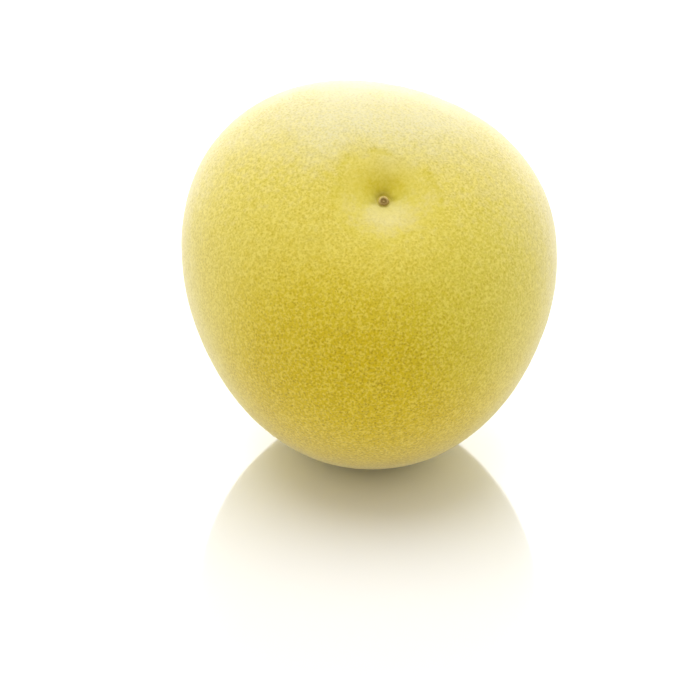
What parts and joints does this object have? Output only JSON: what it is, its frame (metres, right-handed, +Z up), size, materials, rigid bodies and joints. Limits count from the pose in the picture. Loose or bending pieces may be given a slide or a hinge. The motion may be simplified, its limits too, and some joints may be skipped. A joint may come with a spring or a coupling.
{
  "type": "pomelo",
  "caption": "Whole pomelo lying on its side: a broad, flattened blossom end with a dimple and a corky scar, tapering to a woody stem button.",
  "frame": {"origin": "on the table surface, under the middle of the fruit's box", "axes": "+Z up; -Y is the side that the blossom end's dimple faces, tilted up; +X to the right when the dimple is seen from in front"},
  "size_m": [0.1476, 0.1512, 0.1482],
  "materials": {
    "rind": "fresh citrus rind, pale to deep yellow, finely pitted with oil glands, softly waxy",
    "cork": "dry corky scar tissue, tan rim and darker brown centre, matt",
    "wood": "dry woody stem button, brown with a paler rim, matt"
  },
  "bodies": {
    "root": {"fruit": "rind", "style_scar": "cork", "stem_button": "wood"}
  },
  "joints": []
}
